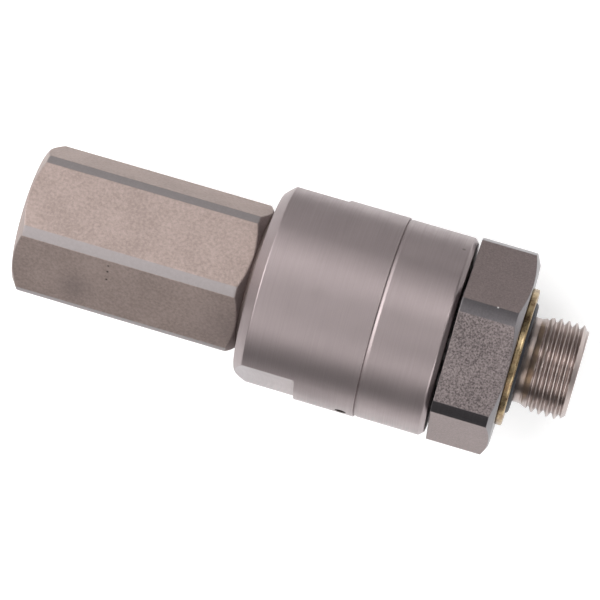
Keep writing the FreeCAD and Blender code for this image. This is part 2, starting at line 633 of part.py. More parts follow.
parts = [
    female_body(),
    housing(),
    ring_nut(),
    male_body(),
    thrust_collar(),
    dust_wiper(),
    flat_ring("journal_bush", "Stations.front_back", "Radii.neck_running",
              "Radii.bush_seat - Dims.seat_play", "Dims.bush_width"),
    radial_pin("lock_pin", "Stations.seam - Dims.lock_pin_setback", "Dims.housing_turn",
               "Radii.skirt - Dims.lock_pin_bite", "Radii.housing - Dims.lock_pin_inset",
               "Dims.lock_pin_radius"),
    radial_pin("collar_set_screw", "(Stations.collar_left + Stations.collar_right) / 2", "0",
               "Radii.collar_hole", "Radii.collar - Dims.set_screw_inset", "Dims.set_screw_radius"),
    *bearings(),
    *seal_stack(),
    spigot_o_ring(),
    *sealing_washer(),
]
doc.recompute()

for item in doc.Objects:
    if "Invalid" in item.State or "Error" in item.State:
        raise RuntimeError(f"{item.Label} did not recompute: {item.State}")
for part in parts:
    if part.Shape.isNull() or not part.Shape.isValid():
        raise RuntimeError(f"{part.Label} has no valid shape")

os.makedirs("parts", exist_ok=True)
for part in parts:
    part.Shape.exportStep(f"parts/{part.Label}.step")
    print(f"{part.Label}: {len(part.Shape.Solids)} solid(s), {part.Shape.Volume:.1f} mm3")
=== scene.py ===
import math

import bpy
import numpy as np
from mathutils import Matrix, Vector


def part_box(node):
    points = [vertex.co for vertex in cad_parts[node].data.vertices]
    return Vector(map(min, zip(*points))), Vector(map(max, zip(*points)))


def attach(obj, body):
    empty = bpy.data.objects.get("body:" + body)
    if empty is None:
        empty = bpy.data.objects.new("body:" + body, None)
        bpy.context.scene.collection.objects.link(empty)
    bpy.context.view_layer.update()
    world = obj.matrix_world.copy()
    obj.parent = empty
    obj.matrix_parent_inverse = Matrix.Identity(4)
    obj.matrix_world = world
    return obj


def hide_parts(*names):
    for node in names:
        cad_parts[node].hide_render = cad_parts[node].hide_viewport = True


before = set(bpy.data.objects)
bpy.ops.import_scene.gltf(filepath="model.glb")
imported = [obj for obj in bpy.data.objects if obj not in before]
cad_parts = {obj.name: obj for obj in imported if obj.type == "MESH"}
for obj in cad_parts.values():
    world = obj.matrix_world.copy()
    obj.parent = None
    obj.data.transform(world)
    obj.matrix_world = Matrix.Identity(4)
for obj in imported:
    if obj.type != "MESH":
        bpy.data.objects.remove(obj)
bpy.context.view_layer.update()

# Lengths are millimetres along the swivel axis (X) or out from it
# Angles are degrees about that axis, from Y towards Z
MM = 0.001


def reach(node):
    """Left and right end of a CAD node."""
    low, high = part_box(node)
    return low.x / MM, high.x / MM


# Places along the axis, from the frame
female_left, spigot_end = reach("female_body")
housing_left, seam = reach("housing")
skirt_end, ring_right = reach("ring_nut")
nose_end, stud_end = reach("male_body")
seat, washer_face = reach("sealing_washer")
lip_face = reach("sealing_lip")[1]
front_back = reach("front_housing_washer")[1]
rear_back = reach("rear_housing_washer")[0]
inner_wall = reach("preload_shim")[0]

# Male half
MALE_WIDTH = 32.0
MALE_CORNER = 17.8
MALE_FACE = 15.85
MALE_LENGTH = 10.5
MALE_CHAMFER = 0.95
MALE_NORMAL = 30.0
NECK_JOURNAL = 8.5
NECK_JOURNAL_LENGTH = 4.6
JOURNAL = 7.5
JOURNAL_SETBACK = 0.5
NOSE = 7.0
NOSE_CHAMFER = 0.8
FLOW = 4.0
FLOW_SINK = 0.6
STUD = 8.331
STUD_NECK = 7.381
STUD_NECK_LENGTH = 3.8
STUD_LEAD = 1.05
STUD_END_STEP = 0.08

# Whitworth thread of both ends, right-handed
PITCH = 1.337
THREAD_DEPTH = 0.856
THREAD_HALF_ANGLE = 27.5
THREAD_ROUNDING = 0.16
THREAD_START = 0.634
THREAD_FADE = 1.6
BLANK_ROUNDING = 0.04
ROWS_PER_PITCH = 22
STUD_THREAD_MARGIN = 0.03
PORT_THREAD_MARGIN = 0.05

# Female half
FEMALE_WIDTH = 24.0
FEMALE_CORNER = 13.35
FEMALE_FACE = 11.75
FEMALE_CHAMFER = 1.2
FEMALE_NORMAL = 1.3
FEMALE_RIGHT_LAND = 0.5
COUPLING_GAP = 0.95
BOSS = 10.8
SPIGOT = 10.0
SPIGOT_CHAMFER = 0.5
PORT_MOUTH = 8.9
PORT_DEPTH = 14.0
PORT_THREAD = 12.6
CHAMBER = 7.25
CHAMBER_DEPTH = 20.2

# Groove of the spigot's O-ring: its sides, as distances from the spigot's end, and its floor
O_RING_SIDES = (2.6, 0.8)
O_RING_FLOOR = 8.62

# Grooves of the seal chamber: distance from the spigot's end, width and floor
GUIDE_WIDTH = 3.0
GUIDE_SEAT = 8.23
SEAL_WIDTH = 4.3
SEAL_SEAT = 9.73
CHAMBER_GROOVES = (
    (2.8, GUIDE_WIDTH, GUIDE_SEAT),
    (8.8, SEAL_WIDTH, SEAL_SEAT),
    (15.3, GUIDE_WIDTH, GUIDE_SEAT),
)

# Housing and ring nut
HOUSING = 17.5
HOUSING_CHAMFER = 1.85
HOUSING_NORMAL = 157.1
WRENCH_FLOOR = 16.0
WRENCH_LENGTH = 10.85
WRENCH_SLOPE = 0.5
WRENCH_RISE = (0, 0.12, 0.88, 1)
SPIGOT_PLAY = 0.02
SOCKET = 15.42
SOCKET_RELIEF = 0.6
SKIRT = 15.4
SKIRT_CHAMFER = 0.5
BEARING_BORE = 14.05
RING = 17.31
RING_CHAMFER = 0.75
RING_LEAD_LENGTH = 0.65
RING_LEAD_DEPTH = 0.145
RING_BREAK_LENGTH = 0.04
RING_BREAK_DEPTH = 0.03
RING_HOLE = 8.8
RING_COLUMNS = 144
BUSH_SEAT = 9.63
BUSH_WIDTH = 1.7
WIPER_SEAT = 11.23
WIPER_RECESS = 2.15

# Hole of the lock pin, and the rows of points beside it that keep the faces there short
PIN_SETBACK = 2.15
PIN_HOLE = 0.92
PIN_HOLE_SIDES = 40
PIN_HOLE_IN_SKIRT = 0.7
PIN_ROWS = (-2, -1, 0, 1)
DRILL_START = 13
DRILL_END = 20
pin_place = np.array([seam - PIN_SETBACK, 0, 0])
pin_outward = np.array([0, math.cos(math.radians(HOUSING_NORMAL)), math.sin(math.radians(HOUSING_NORMAL))])

# Sealing washer
WASHER_INNER = 9.7
WASHER_OUTER = 11.9
WASHER_COLUMNS = 128
LIP_INNER = 8.36
LIP_INNER_SHARE = 0.5
LIP_OUTER_SHARE = 0.7
LIP_OUTER_STEP = 0.25
LIP_LEAN = 0.1

# Roundings of turned edges, from the keenest to the softest
HAIR_EDGE = 0.02
SEAM_EDGE = 0.03
KEEN_EDGE = 0.05
LEAD_EDGE = 0.06
CONE_EDGE = 0.07
FINE_EDGE = 0.08
EASED_EDGE = 0.1
DULL_EDGE = 0.12
BLUNT_EDGE = 0.15
SOFT_EDGE = 0.2
FULL_EDGE = 0.3

# A rounded corner: the most of a run that it takes, the shares of its rows, and the plain row beside it
ROUNDING_REACH = 0.4
ROUNDING_ROWS = (0, 0.3, 0.7, 1)
MARGIN = 1.8
MARGIN_REACH = 0.48

# Faces that meet at a steeper angle than this show a sharp edge
SHARP_ANGLE = 40


def soft_min(a, b, softness):
    """The smaller of two arrays, with a parabola where they differ by less than the softness."""
    near = np.clip(softness - np.abs(a - b), 0, None) / softness
    return np.minimum(a, b) - near ** 2 * softness / 4


def soft_max(a, b, softness):
    """The larger of two arrays, blended the same way."""
    return -soft_min(-a, -b, softness)


class Flats:
    """Flats milled on a round bar: its columns, its outline and where its lands are.

    The radius at an angle is the smaller of the widest one and flat / cos(angle from the flat's normal),
    so each flat is straight and the lands between the flats stay round. The columns crowd round the edges
    of the flats, and stand evenly elsewhere. land goes from 0 to 1 as a column crosses the edge.
    """

    # Degrees between even columns, from an edge to each crowded column, and to the next even one
    SPACING = 3.0
    CROWD = np.array([-1.1, -0.55, -0.28, -0.1, 0.1, 0.28, 0.55, 1.1])
    CROWD_REACH = 1.8

    # Degrees past the edge where the straight outline stops growing, and over which the finish changes
    BEYOND_EDGE = 8
    LAND_BLEND = 0.5

    # Millimetres by which the outline is rounded where a flat meets a land
    EDGE_ROUNDING = 0.05

    def __init__(self, normal, count, flat, widest):
        half = 180 / count
        edge = math.degrees(math.acos(flat / widest))
        inner = np.linspace(0, edge - self.CROWD_REACH, max(3, round(edge / self.SPACING)))
        outer = np.linspace(edge + self.CROWD_REACH, half, max(3, round((half - edge) / self.SPACING)))
        side = np.concatenate([inner, edge + self.CROWD, outer])
        sector = np.concatenate([-side[:0:-1], side[:-1]])
        self.turn = (normal + 2 * half * np.arange(count)[:, None] + sector).ravel()
        distance = np.tile(np.abs(sector), count)
        straight = flat / np.cos(np.radians(np.minimum(distance, edge + self.BEYOND_EDGE)))
        self.radius = soft_min(straight, np.full_like(straight, widest), self.EDGE_ROUNDING)
        self.land = np.clip((distance - edge) / self.LAND_BLEND + 0.5, 0, 1)


def round_columns(count):
    """Evenly spaced columns of a plain turned piece."""
    return np.arange(count) * 360 / count


def corner(along, radius, rounding=0.0, land=1.0, cut=1.0):
    """One corner of a profile.

    land and cut tell the finish of the run after it: land is 0 on a milled flat, and cut is 0 on old skin.
    """
    return along, radius, land, cut, rounding


def groove(start, end, wall, floor):
    """Corners of a square groove in a wall, from its start to its end along the profile."""
    return [corner(start, wall), corner(start, floor), corner(end, floor), corner(end, wall)]


def profile_rows(corners, columns):
    """Rows of points round a closed profile, each with one value per column.

    A corner without rounding gives a single row. A rounded one gives a parabola that leaves both runs at
    the same distance from the corner: point = corner + (back * (1 - share)^2 + ahead * share^2) * distance,
    with back and ahead the directions of the two runs. The finish changes by the same share. One more row
    on each run close by keeps the shading of the run even.
    """
    spots = [[np.broadcast_to(np.asarray(part, float), columns) for part in parts[:4]] for parts in corners]
    rows = []
    for i, (along, radius, *finish) in enumerate(spots):
        rounding = corners[i][4]
        if not rounding:
            rows.append((along, radius, *finish))
            continue
        before, after = spots[i - 1], spots[(i + 1) % len(spots)]
        arms = []
        for other in (before, after):
            run = np.array([other[0] - along, other[1] - radius])
            length = np.hypot(*run)
            arms.append((run / length, np.minimum(rounding, ROUNDING_REACH * length), length))
        (back, back_cut, back_length), (ahead, ahead_cut, ahead_length) = arms
        cut = np.minimum(back_cut, ahead_cut)
        margin = back * np.minimum(MARGIN * cut, MARGIN_REACH * back_length)
        rows.append((along + margin[0], radius + margin[1], *before[2:]))
        for share in ROUNDING_ROWS:
            bend = (back * (1 - share) ** 2 + ahead * share ** 2) * cut
            blend = [old * (1 - share) + new * share for old, new in zip(before[2:], finish)]
            rows.append((along + bend[0], radius + bend[1], *blend))
        margin = ahead * np.minimum(MARGIN * cut, MARGIN_REACH * ahead_length)
        rows.append((along + margin[0], radius + margin[1], *finish))
    return np.array(rows).transpose(1, 0, 2)


def add_mesh(name, points, faces, floats=()):
    """A mesh object from arrays of points in millimetres and of quads, with its float attributes."""
    mesh = bpy.data.meshes.new(name)
    mesh.vertices.add(len(points))
    mesh.vertices.foreach_set("co", (points * MM).astype(np.float32).ravel())
    mesh.loops.add(faces.size)
    mesh.loops.foreach_set("vertex_index", faces.astype(np.int32).ravel())
    mesh.polygons.add(len(faces))
    mesh.polygons.foreach_set("loop_start", np.arange(len(faces), dtype=np.int32) * faces.shape[1])
    mesh.update(calc_edges=True)
    for label, numbers in floats:
        layer = mesh.attributes.new(label, "FLOAT", "POINT")
        layer.data.foreach_set("value", numbers.astype(np.float32).ravel())
    piece = bpy.data.objects.new(name, mesh)
    bpy.context.scene.collection.objects.link(piece)
    finish_shading(piece)
    return piece


def finish_shading(piece):
    """Smooth faces, with sharp edges where two faces meet at a steep angle."""
    mesh = piece.data
    mesh.polygons.foreach_set("use_smooth", np.ones(len(mesh.polygons), bool))
    mesh.set_sharp_from_angle(angle=math.radians(SHARP_ANGLE))


def turned_piece(name, corners, turn):
    """A closed profile carried round the X axis.

    Point = (along, radius cos turn, radius sin turn), where along and radius come from the profile's rows
    and may change from column to column. Rows and columns both close on themselves, so there is no pole.
    The signed volume, summed over the faces, tells whether they point outwards, and they are turned if not.
    """
    along, radius, land, cut = profile_rows(corners, len(turn))
    angle = np.radians(turn)
    points = np.stack([along, radius * np.cos(angle), radius * np.sin(angle)], axis=-1).reshape(-1, 3)
    index = np.arange(along.size).reshape(along.shape)
    below = np.roll(index, -1, axis=0)
    beside = np.roll(index, -1, axis=1)
    faces = np.stack([index, below, np.roll(below, -1, axis=1), beside], axis=-1).reshape(-1, 4)
    first, second, third, fourth = (points[faces[:, k]] for k in range(4))
    volume = (first * np.cross(second, third)).sum() + (first * np.cross(third, fourth)).sum()
    if volume < 0:
        faces = faces[:, ::-1]
    return add_mesh(name, points, faces, (("land", land), ("cut", cut)))


def thread(along, turn, start):
    """Radius of a right-handed Whitworth thread above its mean: straight flanks, rounded crests and roots.

    The crest lies where along = start + pitch * (turn / 360 + a whole number). From it the flank falls by
    its distance along / tan(half angle), and soft limits at half the depth round the crest and the root.
    """
    phase = ((along - start) / PITCH - turn / 360) % 1
    from_crest = np.minimum(phase, 1 - phase) * PITCH
    flank = (PITCH / 4 - from_crest) / math.tan(math.radians(THREAD_HALF_ANGLE))
    top = np.full_like(flank, THREAD_DEPTH / 2)
    return soft_max(soft_min(flank, top, THREAD_ROUNDING), -top, THREAD_ROUNDING)


def thread_rows(first, last, turn, radius_at):
    """Corners of a threaded run: one row for each step along, whose radius follows the turn."""
    count = max(2, round(abs(last - first) / PITCH * ROWS_PER_PITCH))
    return [corner(x, radius_at(x, turn)) for x in np.linspace(first, last, count)]


def hexagon_break(flats, face, chamfer, widest):
    """How far from the end face the cone of a chamfered hexagon meets its outline, column by column.

    The cone starts at the face's radius and reaches the widest radius after the chamfer's length, so the
    distance is (outline's radius - face) * chamfer / (widest - face).
    """
    return (flats.radius - face) * chamfer / (widest - face)


def male_half():
    """Nose, journals, hexagon, neck and threaded stud in one closed surface, with the oil way inside.

    The profile runs from the nose along the outside to the stud's end and back through the oil way. On the
    hexagon its radius is that of the flats, and on the stud the smaller of the blank's and the thread's.
    """
    flats = Flats(MALE_NORMAL, 6, MALE_WIDTH / 2, MALE_CORNER)
    turn = flats.turn
    hexagon_left = seat - MALE_LENGTH
    step = hexagon_left - NECK_JOURNAL_LENGTH
    root = rear_back + JOURNAL_SETBACK
    break_in = hexagon_break(flats, MALE_FACE, MALE_CHAMFER, MALE_CORNER)
    neck_end = seat + STUD_NECK_LENGTH
    lead = STUD - STUD_NECK
    end = STUD - STUD_LEAD
    mean = STUD - THREAD_DEPTH / 2
    blank_along = (neck_end - lead, neck_end + THREAD_FADE, stud_end - STUD_LEAD, stud_end)
    blank_radius = (STUD_NECK, STUD, STUD, end)

    def stud_radius(x, angle):
        """The smaller of the turned blank's radius and the thread's."""
        blank = np.full_like(angle, np.interp(x, blank_along, blank_radius))
        return soft_min(blank, mean + thread(x, angle, seat + THREAD_START), BLANK_ROUNDING)

    corners = [
        corner(nose_end, FLOW + FLOW_SINK),
        corner(nose_end, NOSE - NOSE_CHAMFER, EASED_EDGE),
        corner(nose_end + NOSE_CHAMFER, NOSE, SOFT_EDGE),
        corner(root, NOSE),
        corner(root + JOURNAL - NOSE, JOURNAL, EASED_EDGE),
        corner(step, JOURNAL),
        corner(step, NECK_JOURNAL, FINE_EDGE),
        corner(hexagon_left, NECK_JOURNAL, cut=0),
        corner(hexagon_left, flats.radius, DULL_EDGE, land=flats.land, cut=0),
        corner(seat - break_in, flats.radius, CONE_EDGE, cut=0),
        corner(seat, MALE_FACE, EASED_EDGE, cut=0),
        corner(seat, STUD_NECK, EASED_EDGE),
        *thread_rows(blank_along[0], stud_end - STUD_THREAD_MARGIN, turn, stud_radius),
        corner(stud_end, end - STUD_END_STEP, KEEN_EDGE),
        corner(stud_end, FLOW + FLOW_SINK, FINE_EDGE),
        corner(stud_end - FLOW_SINK, FLOW, FINE_EDGE),
        corner(nose_end + FLOW_SINK, FLOW),
    ]
    return turned_piece("male_half", corners, turn)


def female_half():
    """Hexagon, boss and spigot in one closed surface, with the threaded port and the seal chamber inside.

    The profile runs from the port's mouth along the outside to the spigot's end and back through the
    chamber and the port. The port's radius is the larger of the countersink's and the thread's, and never
    under the bore's.
    """
    flats = Flats(FEMALE_NORMAL, 6, FEMALE_WIDTH / 2, FEMALE_CORNER)
    turn = flats.turn
    right = housing_left - COUPLING_GAP
    break_in = hexagon_break(flats, FEMALE_FACE, FEMALE_CHAMFER, FEMALE_CORNER)
    port = STUD - THREAD_DEPTH
    mean = STUD - THREAD_DEPTH / 2
    fade = (PORT_THREAD - PITCH, PORT_THREAD)
    chamber_end = spigot_end - CHAMBER_DEPTH
    flow_start = female_left + PORT_DEPTH + (port - FLOW) / 2
    o_ring_left, o_ring_right = (spigot_end - away for away in O_RING_SIDES)
    chamber = []
    for depth, width, floor in CHAMBER_GROOVES:
        chamber += groove(spigot_end - depth, spigot_end - depth - width, CHAMBER, floor)

    def port_radius(x, angle):
        """The larger of the countersink's radius and the thread's, which fades out at the inner end."""
        cone = np.full_like(angle, PORT_MOUTH - (x - female_left))
        runout = np.full_like(angle, np.interp(x - female_left, fade, (0, THREAD_DEPTH)))
        cut = mean + thread(x, angle, female_left) - runout
        return np.maximum(soft_max(cone, cut, BLANK_ROUNDING), port)

    corners = [
        corner(female_left, PORT_MOUTH, FINE_EDGE),
        corner(female_left, FEMALE_FACE, EASED_EDGE),
        corner(female_left + break_in, flats.radius, SOFT_EDGE, land=flats.land, cut=0),
        corner(right - break_in, flats.radius, SOFT_EDGE, land=FEMALE_RIGHT_LAND, cut=0),
        corner(right, FEMALE_FACE, EASED_EDGE),
        corner(right, BOSS),
        corner(housing_left, BOSS),
        corner(housing_left, SPIGOT),
        *groove(o_ring_left, o_ring_right, SPIGOT, O_RING_FLOOR),
        corner(spigot_end - SPIGOT_CHAMFER, SPIGOT),
        corner(spigot_end, SPIGOT - SPIGOT_CHAMFER),
        corner(spigot_end, CHAMBER),
        *chamber,
        corner(chamber_end, CHAMBER),
        corner(chamber_end, FLOW),
        corner(flow_start, FLOW),
        corner(female_left + PORT_DEPTH, port),
        *thread_rows(female_left + PORT_THREAD, female_left + PORT_THREAD_MARGIN, turn, port_radius),
    ]
    return turned_piece("female_half", corners, turn)


def round_housing():
    """Housing with a chamfered left end, two wrench flats and a keen edge at the seam.

    From the chamfer to the shoulder its radius is that of the flats. Then it rises to the round over a
    short slope about the shoulder: radius = flats + (round - flats) * share, at slope * (share - half).
    """
    flats = Flats(HOUSING_NORMAL, 2, WRENCH_FLOOR, HOUSING)
    turn = flats.turn
    start = HOUSING - HOUSING_CHAMFER
    shoulder = housing_left + WRENCH_LENGTH
    socket = skirt_end - SOCKET_RELIEF
    pin = seam - PIN_SETBACK
    plain = np.full_like(turn, HOUSING)
    hole = SPIGOT + SPIGOT_PLAY
    corners = [
        corner(housing_left, hole),
        corner(housing_left, start, BLUNT_EDGE),
        corner(housing_left + flats.radius - start, flats.radius, DULL_EDGE, land=flats.land),
        *[corner(shoulder + WRENCH_SLOPE * (share - 0.5), flats.radius + (plain - flats.radius) * share)
          for share in WRENCH_RISE],
        corner(shoulder + WRENCH_SLOPE, plain),
        *[corner(pin + away, plain) for away in PIN_ROWS],
        corner(seam, plain, SEAM_EDGE),
        corner(seam, SOCKET),
        corner(socket, SOCKET),
        corner(socket, BEARING_BORE),
        corner(inner_wall, BEARING_BORE),
        corner(inner_wall, hole),
    ]
    return turned_piece("round_housing", corners, turn)


def closing_ring():
    """Ring nut: a shallow lead from the seam, a chamfered right end, and the skirt inside the housing.

    The profile runs from the skirt over the outside to the right end, and back through the seats of the
    wiper and the bush.
    """
    wiper_floor = ring_right - WIPER_RECESS
    bush_end = front_back + BUSH_WIDTH
    foot = RING - RING_LEAD_DEPTH
    corners = [
        corner(skirt_end, BEARING_BORE),
        corner(skirt_end, SKIRT - SKIRT_CHAMFER),
        corner(skirt_end + SKIRT_CHAMFER, SKIRT),
        corner(seam, SKIRT),
        corner(seam, foot - RING_BREAK_DEPTH, SEAM_EDGE),
        corner(seam + RING_BREAK_LENGTH, foot, HAIR_EDGE),
        corner(seam + RING_LEAD_LENGTH, RING, LEAD_EDGE),
        corner(ring_right - RING_CHAMFER, RING, SOFT_EDGE),
        corner(ring_right, RING - RING_CHAMFER, DULL_EDGE),
        corner(ring_right, WIPER_SEAT, EASED_EDGE),
        corner(wiper_floor, WIPER_SEAT),
        corner(wiper_floor, RING_HOLE),
        corner(bush_end, RING_HOLE),
        corner(bush_end, BUSH_SEAT),
        corner(front_back, BUSH_SEAT),
        corner(front_back, BEARING_BORE),
    ]
    return turned_piece("closing_ring", corners, round_columns(RING_COLUMNS))


def washer_ring():
    """Stamped metal ring of the sealing washer: a rectangular section with rounded rims."""
    corners = [
        corner(seat, WASHER_INNER),
        corner(seat, WASHER_OUTER, SOFT_EDGE),
        corner(washer_face, WASHER_OUTER, FULL_EDGE),
        corner(washer_face, WASHER_INNER, EASED_EDGE),
    ]
    return turned_piece("washer_ring", corners, round_columns(WASHER_COLUMNS))


def washer_lip():
    """Rubber of the sealing washer, whose section swells out of the metal ring to a round crest."""
    proud = lip_face - washer_face
    corners = [
        corner(seat, LIP_INNER, EASED_EDGE),
        corner(seat, WASHER_INNER),
        corner(washer_face, WASHER_INNER, EASED_EDGE),
        corner(washer_face + LIP_OUTER_SHARE * proud, WASHER_INNER - LIP_OUTER_STEP, FULL_EDGE),
        corner(lip_face, (LIP_INNER + WASHER_INNER) / 2 - LIP_LEAN, FULL_EDGE),
        corner(washer_face + LIP_INNER_SHARE * proud, LIP_INNER, SOFT_EDGE),
    ]
    return turned_piece("washer_lip", corners, round_columns(WASHER_COLUMNS))


def drill_pin_hole(piece, low, high):
    """Cuts the lock pin's hole out of a piece, between two radii.

    The drill is a prism: point = the pin's place on the axis + radius cos angle along X + radius sin angle
    across + low or high outwards, where outwards is the wrench flat's normal, and across square to it.
    """
    angle = np.arange(PIN_HOLE_SIDES) * 2 * math.pi / PIN_HOLE_SIDES
    across = np.array([0, -pin_outward[2], pin_outward[1]])
    rim = np.outer(np.cos(angle), (PIN_HOLE, 0, 0)) + np.outer(np.sin(angle), across * PIN_HOLE) + pin_place
    points = np.concatenate([rim + pin_outward * low, rim + pin_outward * high]) * MM
    around = np.arange(PIN_HOLE_SIDES)
    ahead = (around + 1) % PIN_HOLE_SIDES
    sides = np.stack([around, ahead, ahead + PIN_HOLE_SIDES, around + PIN_HOLE_SIDES], axis=-1).tolist()
    ends = [around[::-1].tolist(), (around + PIN_HOLE_SIDES).tolist()]
    mesh = bpy.data.meshes.new("drill")
    mesh.from_pydata(points, [], sides + ends)
    cutter = bpy.data.objects.new("drill", mesh)
    bpy.context.scene.collection.objects.link(cutter)
    cut = piece.modifiers.new("drill", "BOOLEAN")
    cut.object = cutter
    cut.operation = "DIFFERENCE"
    cut.solver = "EXACT"
    bpy.context.view_layer.update()
    done = bpy.data.meshes.new_from_object(piece.evaluated_get(bpy.context.evaluated_depsgraph_get()))
    piece.modifiers.clear()
    old = piece.data
    done.name = old.name + "_drilled"
    piece.data = done
    bpy.data.meshes.remove(old)
    bpy.data.objects.remove(cutter)
    finish_shading(piece)


class Finish:
    """A node material with a principled shader, and short calls that add and join its nodes."""

    # Rings of the tool: what a step outwards counts beside one along, and the slow change of each ring
    SWEEP = 0.83
    SLOW_RATE = 90.0

    def __init__(self, name):
        self.material = bpy.data.materials.new(name)
        self.material.use_nodes = True
        self.tree = self.material.node_tree
        self.tree.nodes.clear()
        output = self.tree.nodes.new("ShaderNodeOutputMaterial")
        self.shader = self.tree.nodes.new("ShaderNodeBsdfPrincipled")
        self.tree.links.new(self.shader.outputs[0], output.inputs["Surface"])
        source = self.tree.nodes.new("ShaderNodeTexCoord")
        self.place = source.outputs["Object"]
        self.facing = source.outputs["Normal"]

    def feed(self, slot, given):
        """Joins a socket to another node's output, or sets it to a number or a colour."""
        if isinstance(given, bpy.types.NodeSocket):
            self.tree.links.new(given, slot)
        else:
            slot.default_value = given

    def node(self, kind, inputs, **settings):
        """Adds a node. Its inputs, by name or number, are values or the outputs of other nodes."""
        made = self.tree.nodes.new(kind)
        for label, setting in settings.items():
            setattr(made, label, setting)
        for label, given in inputs.items():
            self.feed(made.inputs[label], given)
        return made

    def maths(self, operation, *given):
        """The result of a sum, a product or another operation."""
        return self.node("ShaderNodeMath", dict(enumerate(given)), operation=operation).outputs[0]

    def between(self, value, low, high, start=0.0, end=1.0):
        """The value carried from one range to another, and held at its ends."""
        inputs = {"Value": value, "From Min": low, "From Max": high, "To Min": start, "To Max": end}
        return self.node("ShaderNodeMapRange", inputs).outputs["Result"]

    def mix(self, share, first, second):
        """Two colours mixed by a share from 0 to 1."""
        made = self.node("ShaderNodeMix", {0: share}, data_type="RGBA")
        for slot, colour in ((made.inputs[6], first), (made.inputs[7], second)):
            self.feed(slot, colour if isinstance(colour, bpy.types.NodeSocket) else (*colour, 1))
        return made.outputs[2]

    def attribute(self, name):
        """One of the piece's own values, land or cut."""
        return self.node("ShaderNodeAttribute", {}, attribute_name=name).outputs["Fac"]

    def noise(self, size, detail=2.0, roughness=0.5, shift=(0, 0, 0)):
        """Noise whose blobs are about one size in millimetres."""
        scale = (1 / (size * MM),) * 3
        mapped = self.node("ShaderNodeMapping", {"Vector": self.place, "Scale": scale, "Location": shift})
        inputs = {"Vector": mapped.outputs[0], "Scale": 1.0, "Detail": detail, "Roughness": roughness}
        return self.node("ShaderNodeTexNoise", inputs).outputs["Fac"]

    def turning(self, size, detail=2.0):
        """Noise in rings about the axis: it changes fast along and outwards, and hardly at all round it.

        Its first coordinate is (along + sweep * distance from the axis) / size, and the others are Y and Z
        times a slow rate, so that no ring is quite even.
        """
        parts = self.node("ShaderNodeSeparateXYZ", {"Vector": self.place}).outputs
        squares = [self.maths("MULTIPLY", parts[label], parts[label]) for label in "YZ"]
        outward = self.maths("SQRT", self.maths("ADD", *squares))
        swept = self.maths("MULTIPLY_ADD", outward, self.SWEEP, parts["X"])
        across = self.maths("MULTIPLY", swept, 1 / (size * MM))
        slow_y, slow_z = (self.maths("MULTIPLY", parts[label], self.SLOW_RATE) for label in "YZ")
        joined = self.node("ShaderNodeCombineXYZ", {"X": across, "Y": slow_y, "Z": slow_z})
        inputs = {"Vector": joined.outputs[0], "Scale": 1.0, "Detail": detail}
        return self.node("ShaderNodeTexNoise", inputs).outputs["Fac"]

    def near(self, centre, core, rim, share=1.0):
        """The share within a core round a point, falling to 0 at a rim, all in millimetres."""
        spot = [part * MM for part in centre]
        away = self.node("ShaderNodeVectorMath", {0: self.place, 1: spot}, operation="DISTANCE")
        return self.between(away.outputs["Value"], core * MM, rim * MM, share, 0.0)

    def marked(self, colour, marks):
        """The colour with small round marks on it.

        Each is a centre, the radius of its even core and of its rim in millimetres, a share and a colour.
        """
        for centre, core, rim, share, paint in marks:
            colour = self.mix(self.near(centre, core, rim, share), colour, paint)
        return colour

    def relief(self, height, depth):
        """A bump whose height, from 0 to 1, stands for a depth in millimetres."""
        inputs = {"Height": height, "Distance": depth * MM, "Strength": 1.0}
        return self.node("ShaderNodeBump", inputs).outputs["Normal"]

    def set(self, **inputs):
        """Sets or joins the shader's own sockets, named with underscores for spaces."""
        for label, given in inputs.items():
            self.feed(self.shader.inputs[label.replace("_", " ").title().replace("Ior", "IOR")], given)
        return self.material


# Nearly all of a noise lies between these
NOISE_RANGE = (0.3, 0.7)

# Colours of the finishes, each pair from dark to light
CUT_THREAD = ((0.34, 0.283, 0.27), (0.48, 0.41, 0.385))
FEMALE_FLATS = ((0.30, 0.24, 0.219), (0.40, 0.322, 0.296))
FEMALE_LANDS = ((0.30, 0.27, 0.27), (0.34, 0.31, 0.31))
MALE_FLATS = ((0.228, 0.185, 0.18), (0.295, 0.24, 0.234))
# Male hexagon's flats that face up and down: painted glints and painted shade, in a wider and darker spread
MALE_LEVEL_FLATS_PAINTED_GLINTS = ((0.095, 0.08, 0.08), (0.28, 0.236, 0.234))
MALE_LANDS = ((0.13, 0.119, 0.125), (0.18, 0.166, 0.174))
SATIN = ((0.315, 0.266, 0.268), (0.35, 0.295, 0.297))
WRENCH_FLAT = (0.36, 0.325, 0.333)
ZINC = ((0.25, 0.165, 0.095), (0.46, 0.35, 0.20))
OXIDE = ((0.012, 0.011, 0.01), (0.03, 0.027, 0.025))
# Painted shade of hollows: the lock pin's hole and small pits
PAINTED_HOLLOW_SHADE = (0.03, 0.025, 0.022)
DARK_PATCH = (0.16, 0.13, 0.13)
# Near white: the painted glint of a nick
NICK_PAINTED_GLINT = (0.9, 0.88, 0.86)
DARK_NICK = (0.1, 0.08, 0.075)

# Small marks: centre, radius of the even core and of the rim, share and colour
FEMALE_MARKS = (
    # Three small pits on the lower flat, painted dark as their shade
    ((-31.6, -2.2, 12.7), 0.1, 0.22, 0.7, PAINTED_HOLLOW_SHADE),
    ((-31.6, -3.3, 12.0), 0.12, 0.26, 0.8, PAINTED_HOLLOW_SHADE),
    ((-31.6, -4.8, 11.1), 0.1, 0.26, 0.8, PAINTED_HOLLOW_SHADE),
    # Two darker patches on the lower flat, the larger one at the hexagon's end by the housing
    ((-36.8, -8.1, 9.1), 0.5, 4.2, 0.35, DARK_PATCH),
    ((-10.0, -7.5, 9.5), 1.0, 9.0, 0.35, DARK_PATCH),
)
